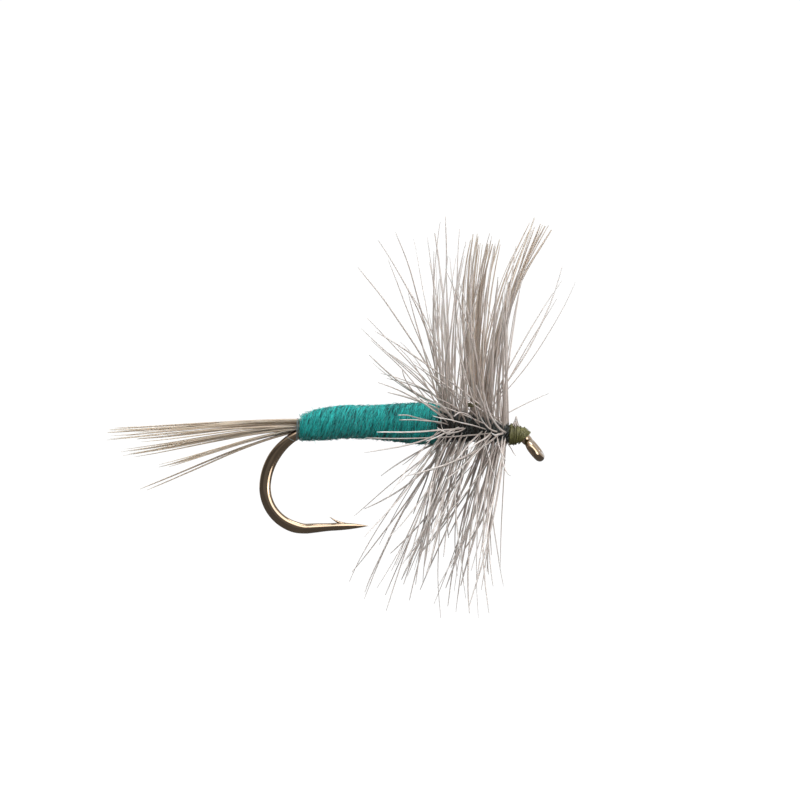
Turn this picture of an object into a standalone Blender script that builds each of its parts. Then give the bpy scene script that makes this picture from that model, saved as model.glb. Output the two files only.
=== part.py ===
"""Dry fly on a size 12 hook: hook, tail, wool body, two wings, two wound hackle feathers, thread.

Metres, +Z up. The origin is the centre of the hook's eye. +X runs along the shank towards the eye,
and the hook's point is below the shank.
"""

import math

import bmesh
import bpy
from mathutils import Vector

MM = 0.001
X_AXIS = Vector((1, 0, 0))
Y_AXIS = Vector((0, 1, 0))

# Driving dimensions.
CLEAR = 0.01 * MM  # gap between pieces that touch

WIRE_R = 0.24 * MM
SHANK_Z = 0.727 * MM  # shank axis above the eye's centre
SHANK_REAR_X = -9.9 * MM  # the straight shank ends here and the bend begins
BEND_REACH = 3.46 * MM  # the upper bend is a quarter ellipse
BEND_DROP = 3.18 * MM
BEND_LOWER_R = 2.07 * MM
POINT_RISE = math.radians(5.8)  # the point closes in towards the shank
POINT_X = -8.08 * MM
BARB_ROOT_X = -9.35 * MM
EYE_R = 0.52 * MM  # middle of the ring's wire
EYE_WIRE_R = 0.23 * MM
EYE_DROP = math.radians(48.5)
NECK_BEND_R = 0.45 * MM

THREAD_R = 0.03 * MM
HEAD_THREAD_R = 0.042 * MM
YARN_R = 0.085 * MM
DUBBING_R = 0.06 * MM
QUILL_R = 0.055 * MM

TAIL_FIBRE_R = 0.05 * MM
TAIL_PITCH = 0.11 * MM
TAIL_ROWS = (5, 4, 3)  # fibres in each row, from the wire up
WING_FIBRE_R = 0.065 * MM
WING_PITCH = 0.15 * MM
WING_X = -3.0 * MM
BUTTS_MEET_X = -6.7 * MM  # tail and wing butts are cut to meet here

HACKLE_TIP_R = 9.1 * MM  # barb tips from the shank axis
BARB_HALF = 0.04 * MM

# Outer surface of the body: x, height above and depth below the shank axis.
BODY_PROFILE = [
    (-11.68 * MM, 0.32 * MM, 0.92 * MM),
    (-11.27 * MM, 0.67 * MM, 0.86 * MM),
    (-10.87 * MM, 0.84 * MM, 0.79 * MM),
    (-10.27 * MM, 0.95 * MM, 0.72 * MM),
    (-9.52 * MM, 1.03 * MM, 0.62 * MM),
    (-8.27 * MM, 1.05 * MM, 0.61 * MM),
    (-7.17 * MM, 1.175 * MM, 0.64 * MM),
    (-6.37 * MM, 1.275 * MM, 0.685 * MM),
    (-5.52 * MM, 1.32 * MM, 0.715 * MM),
    (-4.97 * MM, 1.30 * MM, 0.68 * MM),
]

EYE_AXIS = Vector((math.sin(EYE_DROP), 0, math.cos(EYE_DROP)))
EYE_DIR = Vector((math.cos(EYE_DROP), 0, -math.sin(EYE_DROP)))
BEND_Z = SHANK_Z - BEND_DROP
NECK_TANGENT = NECK_BEND_R * math.tan(EYE_DROP / 2)
NECK_X = -SHANK_Z / math.tan(EYE_DROP) - NECK_TANGENT  # the neck starts to bend down


# ---------------------------------------------------------------- helpers


def eased(x, low, high):
    """Share of the way from low to high, eased at both ends."""
    t = min(1.0, max(0.0, (x - low) / (high - low)))
    return t * t * (3 - 2 * t)


def hermite(start, start_dir, end, end_dir, t):
    """Point on a cubic that leaves start along start_dir and reaches end along end_dir."""
    return (
        start * (2 * t**3 - 3 * t**2 + 1)
        + start_dir * (t**3 - 2 * t**2 + t)
        + end * (3 * t**2 - 2 * t**3)
        + end_dir * (t**3 - t**2)
    )


def wire_height(x):
    """Height of the wire's axis, which falls away where the bend begins."""
    behind = max(0.0, SHANK_REAR_X - x) / BEND_REACH
    return BEND_Z + BEND_DROP * math.sqrt(1 - behind**2)


def wire_top(x):
    """Top of the wire, measured straight up through its sloping section."""
    behind = max(0.0, SHANK_REAR_X - x) / BEND_REACH
    slope = BEND_DROP / BEND_REACH * behind / math.sqrt(1 - behind**2)
    return wire_height(x) + WIRE_R * math.sqrt(1 + slope**2)


def material(name, colour, roughness, metallic=0.0):
    made = bpy.data.materials.get(name)
    if made:
        return made
    made = bpy.data.materials.new(name)
    made.use_nodes = True
    shader = made.node_tree.nodes["Principled BSDF"]
    shader.inputs["Base Color"].default_value = (*colour, 1)
    shader.inputs["Roughness"].default_value = roughness
    shader.inputs["Metallic"].default_value = metallic
    return made


def bronzed_steel():
    return material("bronzed_steel", (0.24, 0.16, 0.08), 0.3, 1.0)


def olive_thread():
    return material("olive_thread", (0.12, 0.13, 0.04), 0.7)


def grey_thread():
    return material("grey_thread", (0.16, 0.2, 0.22), 0.7)


def teal_wool():
    return material("teal_wool", (0.01, 0.28, 0.27), 0.9)


def dark_dubbing():
    return material("dark_dubbing", (0.02, 0.05, 0.045), 0.9)


def tail_feather():
    return material("tail_feather", (0.36, 0.29, 0.22), 0.6)


def wing_feather():
    return material("wing_feather", (0.4, 0.31, 0.23), 0.6)


def hackle_feather():
    return material("hackle_feather", (0.42, 0.38, 0.36), 0.6)


def place(obj, collection, finish):
    collection.objects.link(obj)
    obj.data.materials.append(finish)
    return obj


def strand(name, points, radius, collection, finish, taper=None):
    """Round thread or fibre along a polyline; taper scales the radius at each point."""
    curve = bpy.data.curves.new(name, "CURVE")
    curve.dimensions = "3D"
    curve.bevel_depth = radius
    curve.bevel_resolution = 0
    curve.use_fill_caps = True
    spline = curve.splines.new("POLY")
    spline.points.add(len(points) - 1)
    for i, point in enumerate(points):
        spline.points[i].co = (*point, 1)
        spline.points[i].radius = taper[i] if taper else 1.0
    return place(bpy.data.objects.new(name, curve), collection, finish)


def finish_mesh(name, bm, collection, finish):
    bmesh.ops.recalc_face_normals(bm, faces=bm.faces)
    mesh = bpy.data.meshes.new(name)
    bm.to_mesh(mesh)
    bm.free()
    mesh.shade_smooth()
    mesh.set_sharp_from_angle(angle=math.radians(40))
    return place(bpy.data.objects.new(name, mesh), collection, finish)


def loft(bm, rings):
    """Skins a row of vertex rings with quads and closes both ends. Returns each row of quads."""
    sides = len(rings[0])
    rows = []
    for near, far in zip(rings, rings[1:]):
        row = []
        for k in range(sides):
            nxt = (k + 1) % sides
            row.append(bm.faces.new((near[k], near[nxt], far[nxt], far[k])))
        rows.append(row)
    bm.faces.new(list(reversed(rings[0])))
    bm.faces.new(rings[-1])
    return rows


def spike(name, root, tip, root_r, tip_r, sides, collection, finish):
    """Slender cone from root to tip."""
    axis = tip - root
    turn = axis.to_track_quat("Z", "Y")
    bm = bmesh.new()
    bmesh.ops.create_cone(
        bm, cap_ends=True, segments=sides, radius1=root_r, radius2=tip_r, depth=axis.length
    )
    for v in bm.verts:
        v.co = turn @ v.co + (root + tip) / 2
    return finish_mesh(name, bm, collection, finish)


def coil(x_from, x_to, turns, section, steps=12, phase=0.0):
    """Spiral round the shank. section(x) gives centre height, half height and half width."""
    count = round(turns * steps)
    points = []
    for i in range(count + 1):
        x = x_from + (x_to - x_from) * i / count
        height, half_height, half_width = section(x)
        angle = phase + math.tau * i / steps
        y = half_width * math.cos(angle)
        z = SHANK_Z + height + half_height * math.sin(angle)
        points.append(Vector((x, y, z)))
    return points


# ---------------------------------------------------------------- hook


def ring_point(angle):
    """Middle of the eye's wire, at an angle round the ring from its root."""
    return EYE_R * (-math.cos(angle) * EYE_DIR + math.sin(angle) * Y_AXIS)


def eye_stations():
    """Wire from its tapered end, round the ring and up the neck to the shank: centre, radius."""
    first, last, steps = math.radians(318), math.radians(40), 18
    found = []
    for i in range(steps + 1):
        angle = first + (last - first) * i / steps
        radius = EYE_WIRE_R * (0.7 + 0.3 * eased(i, 0, 4))
        found.append((ring_point(angle), radius))
    leaving = -(math.sin(last) * EYE_DIR + math.cos(last) * Y_AXIS)
    neck = -(SHANK_Z / math.sin(EYE_DROP) - NECK_TANGENT) * EYE_DIR
    reach = 0.4 * MM
    for i in range(1, 5):
        at = hermite(ring_point(last), leaving * reach, neck, -EYE_DIR * reach, i / 4)
        found.append((at, EYE_WIRE_R))
    for i in range(1, 5):
        at, ahead = wire_frame(-NECK_BEND_R * EYE_DROP * (1 - i / 4))
        found.append((at, EYE_WIRE_R + (WIRE_R - EYE_WIRE_R) * i / 4))
    return found


def bend_stations():
    """Upper bend, a quarter ellipse, and lower bend, an arc: centre, half height, half width."""
    upper, lower = 14, 13
    path = []
    for i in range(upper + 1):
        t = math.pi / 2 * i / upper
        path.append((SHANK_REAR_X - BEND_REACH * math.sin(t), BEND_Z + BEND_DROP * math.cos(t)))
    lower_x = SHANK_REAR_X - BEND_REACH + BEND_LOWER_R
    sweep = math.pi / 2 + POINT_RISE
    for i in range(1, lower + 1):
        t = math.pi + sweep * i / lower
        path.append((lower_x + BEND_LOWER_R * math.cos(t), BEND_Z + BEND_LOWER_R * math.sin(t)))
    found = []
    last = len(path) - 1
    for i, (x, z) in enumerate(path):
        forged = eased(i, 6, 10) * (1 - eased(i, last - 4, last))
        in_plane = WIRE_R * (1 + 0.21 * forged - 0.08 * eased(i, last - 8, last))
        flat = WIRE_R * (1 - 0.27 * forged)
        found.append((Vector((x, 0, z)), in_plane, flat))
    return found


def point_stations(start):
    """Straight stretch from the bend to the needle point: centre, radius."""
    along = Vector((math.cos(POINT_RISE), 0, math.sin(POINT_RISE)))
    reach = (POINT_X - start.x) / along.x
    shape = [(0.44, 0.86), (0.58, 0.74), (0.76, 0.5), (0.9, 0.24), (1.0, 0.03)]
    return [(start + along * reach * share, WIRE_R * scale) for share, scale in shape]


def make_hook(parts, cutters):
    """One drawn wire: ring eye, round shank, bend forged flat on both sides, and barbed point."""
    stations = [(centre, r, r) for centre, r in eye_stations()]
    ring_and_neck = len(stations)
    stations += bend_stations()
    bend_end = stations[-1][0]
    stations += [(centre, r, r) for centre, r in point_stations(bend_end)]

    bm = bmesh.new()
    rings = []
    sides = 12
    centres = [s[0] for s in stations]
    for i, (centre, in_plane, flat) in enumerate(stations):
        ahead = centres[min(i + 1, len(centres) - 1)]
        behind = centres[max(i - 1, 0)]
        travel = (ahead - behind).normalized()
        up = EYE_AXIS if i < ring_and_neck - 4 else Vector((travel.z, 0, -travel.x))
        side = travel.cross(up).normalized()
        up = side.cross(travel).normalized()
        widest = max(in_plane, flat) if i < ring_and_neck else in_plane / 1.1
        ring = []
        for k in range(sides):
            angle = math.tau * k / sides
            sideways = max(-flat, min(flat, widest * math.sin(angle)))
            ring.append(bm.verts.new(centre + up * in_plane * math.cos(angle) + side * sideways))
        rings.append(ring)
    loft(bm, rings)
    hook = finish_mesh("hook", bm, parts, bronzed_steel())

    rise = math.tan(POINT_RISE)
    root = Vector((BARB_ROOT_X, 0, bend_end.z + rise * (BARB_ROOT_X - bend_end.x) + 0.1 * MM))
    tip = root + Vector((-0.8, 0, 0.44)) * MM
    spur = spike("barb_spur", root, tip, 0.085 * MM, 0.01 * MM, 8, cutters, bronzed_steel())
    spur.hide_render = True
    spur.display_type = "WIRE"
    union = hook.modifiers.new("Barb", "BOOLEAN")
    union.operation = "UNION"
    union.object = spur


# ---------------------------------------------------------------- thread


def make_thread_base(parts):
    """Open spiral of thread on the bare shank."""
    radius = WIRE_R + CLEAR + THREAD_R
    points = coil(-10.2 * MM, -5.0 * MM, 8, lambda x: (0.0, radius, radius), steps=8)
    strand("thread_base", points, THREAD_R, parts, olive_thread())


def butt_section(x):
    """Oval that just clears the wire and the butts on top of it."""
    wing = eased(x, BUTTS_MEET_X - 0.5 * MM, BUTTS_MEET_X + 0.1 * MM)
    top = (0.75 + 0.12 * wing) * MM
    low = WIRE_R + 2 * THREAD_R + 2 * CLEAR + THREAD_R
    return (top - low) / 2, (top + low) / 2, (0.43 + 0.21 * wing) * MM


def make_lashings(parts):
    """Thread over the butts, under the body, and the turns that bind the tail behind the body."""
    points = coil(-10.1 * MM, -5.1 * MM, 7, butt_section, steps=10, phase=0.8)
    strand("butt_lashing", points, THREAD_R, parts, olive_thread())

    def tail_root(x):
        low = wire_height(x) - 0.35 * MM
        top = wire_top(x) + 0.48 * MM
        return (top + low) / 2 - SHANK_Z, (top - low) / 2, 0.40 * MM

    points = coil(-11.98 * MM, -11.83 * MM, 2, tail_root, steps=14)
    strand("tail_lashing", points, THREAD_R, parts, grey_thread())

    points = coil(-4.86 * MM, -3.72 * MM, 8, butt_section, steps=10)
    strand("wing_lashing", points, THREAD_R, parts, olive_thread())

    def dam(x):
        radius = (0.29 + 0.16 * eased(x, -2.3 * MM, -2.6 * MM)) * MM
        return 0.0, radius, radius

    points = coil(-2.6 * MM, -2.28 * MM, 4, dam, steps=10)
    strand("wing_dam_wraps", points, THREAD_R, parts, olive_thread())


def wire_frame(distance):
    """Centre and direction of the wire, measured back along it from where the neck bends."""
    if distance >= 0:
        return Vector((NECK_X - distance, 0, SHANK_Z)), X_AXIS
    turned = min(EYE_DROP, -distance / NECK_BEND_R)
    over = Vector((math.sin(turned), 0, math.cos(turned) - 1))
    ahead = Vector((math.cos(turned), 0, -math.sin(turned)))
    beyond = -distance - turned * NECK_BEND_R
    return Vector((NECK_X, 0, SHANK_Z)) + over * NECK_BEND_R + ahead * beyond, ahead


def wind(from_distance, to_distance, turns, radius, steps):
    """Points of thread wound round the wire near the eye, following its bend."""
    count = turns * steps
    points = []
    for i in range(count + 1):
        distance = from_distance + (to_distance - from_distance) * i / count
        centre, ahead = wire_frame(distance)
        up = Vector((-ahead.z, 0, ahead.x))
        angle = math.tau * i / steps
        points.append(centre + radius * (math.cos(angle) * up + math.sin(angle) * Y_AXIS))
    return points


def make_head(parts):
    """The head is wound in three layers, one node each, and closed with a whip finish."""
    first = WIRE_R + CLEAR + HEAD_THREAD_R * 1.1
    step = 0.1 * MM
    rear = 0.38 * MM
    layers = [("head_wraps_inner", 0.05), ("head_wraps_middle", 0.05), ("head_wraps_outer", 0.14)]
    for i, (name, front) in enumerate(layers):
        turns = 3 if i < 2 else 2
        points = wind(rear, front * MM, turns, first + step * i, 12)
        strand(name, points, HEAD_THREAD_R, parts, olive_thread())
    points = wind(-0.045 * MM, -0.37 * MM, 2, WIRE_R + CLEAR + THREAD_R, 12)
    strand("whip_finish", points, THREAD_R, parts, olive_thread())


# ---------------------------------------------------------------- tail


def tail_fibre_path(row, column, columns):
    """From the butt under the body, back over the bend, to the free tip."""
    offset = column - (columns - 1) / 2
    points = []
    for x in (-9.3, -10.2, -10.8, -11.3, -11.7, -12.0):
        x *= MM
        over_thread = (2 * THREAD_R + 2 * CLEAR) * eased(x, -10.9 * MM, -10.2 * MM)
        lift = over_thread + TAIL_FIBRE_R + CLEAR + row * TAIL_PITCH
        points.append(Vector((x, offset * TAIL_PITCH, wire_top(x) + lift)))
    butt = points[0].copy()
    butt.x = BUTTS_MEET_X - 0.1 * MM
    points.insert(0, butt)
    root = points[-1]
    below = len(TAIL_ROWS) - 1 - row
    tip_x = -21.4 + 0.75 * below + 0.3 * abs(offset)
    tip_z = 0.1 - 1.15 * below - 0.12 * offset * below
    tip = Vector((tip_x * MM, offset * 1.1 * MM, tip_z * MM))
    reach = (tip - root).length
    leave = ((root - points[-2]).normalized() * 0.35 - X_AXIS * 0.65).normalized()
    arrive = ((tip - root).normalized() + Vector((0, 0, -0.1))).normalized()
    free = 6
    for i in range(1, free + 1):
        points.append(hermite(root, leave * reach, tip, arrive * reach, i / free))
    taper = [1.0] * (len(points) - free) + [1 - 0.85 * (i + 1) / free for i in range(free)]
    return points, taper


def make_tail(parts):
    number = 1
    for row, columns in enumerate(TAIL_ROWS):
        for column in range(columns):
            points, taper = tail_fibre_path(row, column, columns)
            name = f"tail_fibre_{number:02d}"
            strand(name, points, TAIL_FIBRE_R, parts, tail_feather(), taper)
            number += 1


# ---------------------------------------------------------------- body and thorax


def body_section(x):
    """Centre height, half height and half width of the body's outer surface."""
    for (x0, top0, low0), (x1, top1, low1) in zip(BODY_PROFILE, BODY_PROFILE[1:]):
        if x <= x1:
            share = max(0.0, (x - x0) / (x1 - x0))
            top = top0 + (top1 - top0) * share
            low = low0 + (low1 - low0) * share
            return (top - low) / 2, (top + low) / 2, 0.95 * (top + low) / 2
    return None


def make_body(parts):
    """Wool yarn in close turns over the butts; it starts thin."""
    steps = 11
    turns = 35

    def middle(x):
        height, half_height, half_width = body_section(x)
        return height, half_height - YARN_R, half_width - YARN_R

    rear_x, front_x = BODY_PROFILE[0][0], BODY_PROFILE[-1][0] - YARN_R
    points = coil(rear_x, front_x, turns, middle, steps=steps)
    taper = [0.7 + 0.3 * eased(i, 0, 3 * steps) for i in range(len(points))]
    strand("body_yarn", points, YARN_R, parts, teal_wool(), taper)


def rear_thorax(x):
    """Middle of the dubbed thread wound over the wing lashing."""
    height, half_height, half_width = butt_section(x)
    grow = THREAD_R + 3 * CLEAR + DUBBING_R
    return height, half_height + grow, half_width + grow


def front_thorax(x):
    """Middle of the dubbed thread wound on the shank before the wings."""
    radius = WIRE_R + 2 * CLEAR + DUBBING_R
    return 0.0, radius, radius


def make_thorax(parts):
    points = coil(-4.8 * MM, -3.76 * MM, 7, rear_thorax, steps=12)
    strand("thorax_dubbing_rear", points, DUBBING_R, parts, dark_dubbing())
    points = coil(-2.16 * MM, -1.4 * MM, 5, front_thorax, steps=10)
    strand("thorax_dubbing_front", points, DUBBING_R, parts, dark_dubbing())


# ---------------------------------------------------------------- wings


def wing_post_y(side):
    """Middle of a wing's bundle at the height of its post wraps."""
    return side * 0.34 * MM


def wing_fibre_path(side, row, column, lean, height):
    """Butt along the shank, a turn upright at the post, then the free fibre."""
    y = side * (column + 0.5) * WING_PITCH
    out = side * (column - 0.5) * WING_PITCH
    low = SHANK_Z + WIRE_R + 2 * THREAD_R + 3 * CLEAR + WING_FIBRE_R + row * WING_PITCH
    x = WING_X - row * WING_PITCH
    post_z = SHANK_Z + 1.35 * MM
    points = [
        Vector((BUTTS_MEET_X + 0.1 * MM, y, low)),
        Vector((x - 0.3 * MM, y, low)),
        Vector((x - 0.09 * MM, y, low + 0.07 * MM)),
        Vector((x, y, low + 0.28 * MM)),
        Vector((x, wing_post_y(side) + out, post_z)),
    ]
    root = points[-1]
    fan = (1 - row) * 0.75 * MM
    drop = (0.35 * abs(row - 1) + 0.3 * column) * MM
    tip_y = wing_post_y(side) + side * (1.1 + 0.65 * column) * MM
    tip = Vector((x + lean + fan, tip_y, SHANK_Z + height - drop))
    reach = (tip - root).length
    arrive = (tip - root).normalized()
    leave = (arrive + Vector((0, side * 0.25, 0.6))).normalized()
    free = 5
    for i in range(1, free + 1):
        points.append(hermite(root, leave * reach, tip, arrive * reach, i / free))
    taper = [1.0] * 5 + [0.95, 0.85, 0.7, 0.45, 0.15]
    return points, taper


def make_wing(name, side, lean, height, parts):
    """Six feather fibres, gathered by post wraps and standing apart above them."""
    number = 1
    for row in range(3):
        for column in range(2):
            points, taper = wing_fibre_path(side, row, column, lean, height)
            strand(f"{name}_fibre_{number}", points, WING_FIBRE_R, parts, wing_feather(), taper)
            number += 1
    steps = 12
    turns = 3
    wraps = []
    for i in range(turns * steps + 1):
        angle = math.tau * i / steps
        x = WING_X - WING_PITCH + 0.31 * MM * math.cos(angle)
        y = wing_post_y(side) + 0.25 * MM * math.sin(angle)
        wraps.append(Vector((x, y, SHANK_Z + 1.25 * MM + 0.07 * MM * i / steps)))
    strand(f"{name}_post_wraps", wraps, THREAD_R, parts, olive_thread())


# ---------------------------------------------------------------- hackle


def make_hackle(name, x_from, x_to, turns, section, lean_at, parts):
    """One feather: its quill wound on edge round the thorax, with a barb on every second step.

    lean_at(share, out) is a barb's backward lean, at a share of the way along the winding.
    """
    steps = 23  # odd, so that the barbs of one turn stand between those of the next
    count = turns * steps
    bm = bmesh.new()
    rings = []
    outward = []
    for i in range(count + 1):
        x = x_from + (x_to - x_from) * i / count
        height, half_height, half_width = section(x)
        angle = math.tau * i / steps
        out = Vector((0, math.cos(angle), math.sin(angle)))
        lift = DUBBING_R + 2 * CLEAR + QUILL_R
        y = (half_width + lift) * out.y
        z = SHANK_Z + height + (half_height + lift) * out.z
        outward.append(out)
        half = QUILL_R * (1 - 0.3 * i / count) * math.sqrt(0.5)
        corners = ((1, 1), (1, -1), (-1, -1), (-1, 1))
        centre = Vector((x, y, z))
        rings.append([bm.verts.new(centre + (out * a + X_AXIS * b) * half) for a, b in corners])
    rows = loft(bm, rings)
    for i in range(1, count, 2):
        out = (outward[i] + outward[i + 1]).normalized()
        grow_barb(bm, rows[i][0], out, lean_at(i / count, out), i)
    finish_mesh(name, bm, parts, hackle_feather())


def grow_barb(bm, face, out, lean, number):
    """Extrudes one outer face of the quill into a tapered, slightly curved barb."""
    at = face.calc_center_median()
    across = X_AXIS.cross(out).normalized()
    from_axis = math.hypot(at.y, at.z - SHANK_Z)
    length = HACKLE_TIP_R - from_axis + 0.9 * MM * out.z + 0.6 * MM * math.sin(2.4 * number)
    heading = lean + math.radians(2.5) * math.sin(5.3 * number)
    curl = math.radians(4)
    for reach, wide in ((0.015, 1.0), (0.34, 0.9), (0.34, 0.65), (0.305, 0.2)):
        ahead = out * math.cos(heading) - X_AXIS * math.sin(heading)
        flat = X_AXIS * math.cos(heading) + out * math.sin(heading)
        at = at + ahead * length * reach
        old = [v.co.copy() for v in face.verts]
        middle = sum(old, Vector()) / len(old)
        face = bmesh.ops.extrude_discrete_faces(bm, faces=[face])["faces"][0]
        for vert, was in zip(face.verts, old):
            along = math.copysign(1, (was - middle).dot(flat))
            aside = math.copysign(1, (was - middle).dot(across))
            vert.co = at + (flat * along + across * aside) * wide * BARB_HALF
        heading += curl


def make_hackles(parts):
    def rear_lean(share, out):
        return math.radians(22 - 19 * share - 2 * out.z)

    def front_lean(share, out):
        upper = max(0.0, out.z)
        return math.radians(6 - 8 * share - 22 * upper**2)

    make_hackle("hackle_rear", -4.72 * MM, -3.84 * MM, 4, rear_thorax, rear_lean, parts)
    make_hackle("hackle_front", -2.12 * MM, -1.46 * MM, 4, front_thorax, front_lean, parts)
    head_top = SHANK_Z + 0.58 * MM
    root = Vector((-1.02 * MM, 0, head_top))
    tip = root + Vector((0.03, 0, 0.38)) * MM
    spike("trimmed_quill_end", root, tip, 0.08 * MM, 0.015 * MM, 6, parts, hackle_feather())


# ---------------------------------------------------------------- build


def main():
    for obj in list(bpy.data.objects):
        bpy.data.objects.remove(obj, do_unlink=True)
    parts = bpy.data.collections.new("dry_fly")
    cutters = bpy.data.collections.new("cutters")
    bpy.context.scene.collection.children.link(parts)
    bpy.context.scene.collection.children.link(cutters)
    make_hook(parts, cutters)
    make_thread_base(parts)
    make_tail(parts)
    make_lashings(parts)
    make_body(parts)
    make_thorax(parts)
    make_wing("near_wing", -1, 0.6 * MM, 10.3 * MM, parts)
    make_wing("far_wing", 1, 3.1 * MM, 11.1 * MM, parts)
    make_hackles(parts)
    make_head(parts)


main()
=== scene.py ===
import math
from random import Random

import bmesh
import bpy
import numpy as np
from mathutils import Matrix, Vector


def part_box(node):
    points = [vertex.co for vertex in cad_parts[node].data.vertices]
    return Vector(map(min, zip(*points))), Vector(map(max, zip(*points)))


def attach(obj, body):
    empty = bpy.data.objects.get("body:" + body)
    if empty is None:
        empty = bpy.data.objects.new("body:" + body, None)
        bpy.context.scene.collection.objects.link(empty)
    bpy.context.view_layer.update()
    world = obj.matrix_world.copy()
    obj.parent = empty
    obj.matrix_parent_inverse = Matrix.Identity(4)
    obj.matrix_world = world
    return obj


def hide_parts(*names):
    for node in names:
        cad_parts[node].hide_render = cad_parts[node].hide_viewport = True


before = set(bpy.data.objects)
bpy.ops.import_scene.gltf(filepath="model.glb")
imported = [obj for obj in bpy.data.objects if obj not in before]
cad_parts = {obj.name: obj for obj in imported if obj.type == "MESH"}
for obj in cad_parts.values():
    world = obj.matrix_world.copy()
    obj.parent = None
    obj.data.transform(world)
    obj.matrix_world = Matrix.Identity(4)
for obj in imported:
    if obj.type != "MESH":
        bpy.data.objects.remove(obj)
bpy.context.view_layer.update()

mm = 0.001
axisX = Vector((1, 0, 0))
axisY = Vector((0, 1, 0))


def middleOf(node):
    low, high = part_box(node)
    return (Vector(low) + Vector(high)) / 2


shankZ = middleOf("thread_base").z  # the shank's axis, above the eye's centre


# node helpers


def tint(red, green, blue):
    # screen colour, 0 to 255, to the linear values that shaders take
    def linear(c):
        c /= 255
        return c / 12.92 if c <= 0.04045 else ((c + 0.055) / 1.055) ** 2.4

    return (linear(red), linear(green), linear(blue), 1.0)


def addNode(tree, kind, wires=None, **props):
    node = tree.nodes.new(kind)
    for key, value in props.items():
        setattr(node, key, value)
    for key, source in (wires or {}).items():
        # several sockets can share a name, and one of them is switched on
        socket = node.inputs[key]
        if isinstance(key, str) and not socket.enabled:
            socket = next(i for i in node.inputs if i.name == key and i.enabled)
        if isinstance(source, bpy.types.NodeSocket):
            tree.links.new(source, socket)
        else:
            socket.default_value = source
    return node


def calc(tree, operation, *values, **props):
    wires = dict(enumerate(values))
    return addNode(tree, "ShaderNodeMath", wires, operation=operation, **props).outputs[0]


def calcVector(tree, operation, wires):
    return addNode(tree, "ShaderNodeVectorMath", wires, operation=operation).outputs[0]


def mixColour(tree, amount, near, far):
    wires = {0: amount, 6: near, 7: far}
    return addNode(tree, "ShaderNodeMix", wires, data_type="RGBA").outputs[2]


def mapRange(tree, value, ends, smooth=False):
    kind = "SMOOTHSTEP" if smooth else "LINEAR"
    wires = {"Value": value, **ends}
    return addNode(tree, "ShaderNodeMapRange", wires, interpolation_type=kind).outputs[0]


def speckle(tree, scale, detail, roughness=0.5):
    where = addNode(tree, "ShaderNodeTexCoord").outputs["Object"]
    wires = {"Vector": where, "Scale": scale, "Detail": detail, "Roughness": roughness}
    return addNode(tree, "ShaderNodeTexNoise", wires).outputs["Fac"]


def ramp(tree, amount, first, last, *between):
    # each stop is a position and a colour
    node = addNode(tree, "ShaderNodeValToRGB", {"Fac": amount})
    stops = node.color_ramp.elements
    for stop, (position, colour) in zip(stops, (first, last)):
        stop.position = position
        stop.color = colour
    for position, colour in between:
        stops.new(position).color = colour
    return node.outputs["Color"]


def attribute(tree, name, output="Fac"):
    return addNode(tree, "ShaderNodeAttribute", attribute_name=name).outputs[output]


def newMaterial(name, values):
    made = bpy.data.materials.new(name)
    made.use_nodes = True
    shader = made.node_tree.nodes["Principled BSDF"]
    for key, value in values.items():
        shader.inputs[key].default_value = value
    return made, made.node_tree, shader


# camera, backdrop and light

cameraSet = dict(
    lens=200.0,
    sensor=36.0,
    across=40.0,  # mm of the fly's plane that the camera takes in
    aim=(-6.847, 0.0, 2.145),  # mm from the eye
    roll=3.0,  # degrees; the shank hangs a little nose down
)

stageSet = dict(
    floor=-21.0,  # mm
    halfSize=240.0,  # small enough for the hackle to stand clear above its far edge
    white=1.0,
    bounce=0.07,
    glow=0.05,
)

lightSet = [
    # name, place from the aim point (mm), width and height (mm), watts
    ("top", (25, -20, 150), (90, 90), 0.125),
    ("side", (40, -48, -8), (34, 26), 0.007),
]

skySet = dict(
    seen=1.05,  # the background behind the fly
    behind=0.95,
    above=1.05,
    low=0.15,
    key=4.6,  # a curved panel to the right of the camera and over it
    camera=0.28,  # the dark room round the camera
    bright=(0.3, 0.05, 0.95),
    panel=(0.5, 0.0, 0.87),
)


def addCamera(s):
    data = bpy.data.cameras.new("camera")
    data.lens = s["lens"]
    data.sensor_width = s["sensor"]
    data.clip_start = 0.005
    data.clip_end = 10.0
    camera = bpy.data.objects.new("camera", data)
    bpy.context.scene.collection.objects.link(camera)
    distance = s["across"] * mm * s["lens"] / s["sensor"]
    roll = math.radians(s["roll"])
    right = Vector((math.cos(roll), 0, math.sin(roll)))
    up = Vector((-math.sin(roll), 0, math.cos(roll)))
    turn = Matrix((right, up, -axisY)).transposed().to_4x4()
    turn.translation = Vector(s["aim"]) * mm - axisY * distance
    camera.matrix_world = turn
    bpy.context.scene.camera = camera


def addStage(s):
    bm = bmesh.new()
    bmesh.ops.create_grid(bm, x_segments=1, y_segments=1, size=s["halfSize"] * mm)
    for v in bm.verts:
        v.co.z = s["floor"] * mm
    mesh = bpy.data.meshes.new("floor")
    bm.to_mesh(mesh)
    bm.free()
    floor = bpy.data.objects.new("floor", mesh)
    bpy.context.scene.collection.objects.link(floor)
    # seen as white, yet it throws little light up at the fly
    paint, tree, shader = newMaterial(
        "floorWhite", {"Roughness": 0.9, "Specular IOR Level": 0.0, "Emission Strength": 1.0}
    )
    seen = addNode(tree, "ShaderNodeLightPath").outputs["Is Camera Ray"]
    white = (s["white"],) * 3 + (1,)
    for key, value in (("Base Color", s["bounce"]), ("Emission Color", s["glow"])):
        colour = mixColour(tree, seen, (value,) * 3 + (1,), white)
        tree.links.new(colour, shader.inputs[key])
    mesh.materials.append(paint)


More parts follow.
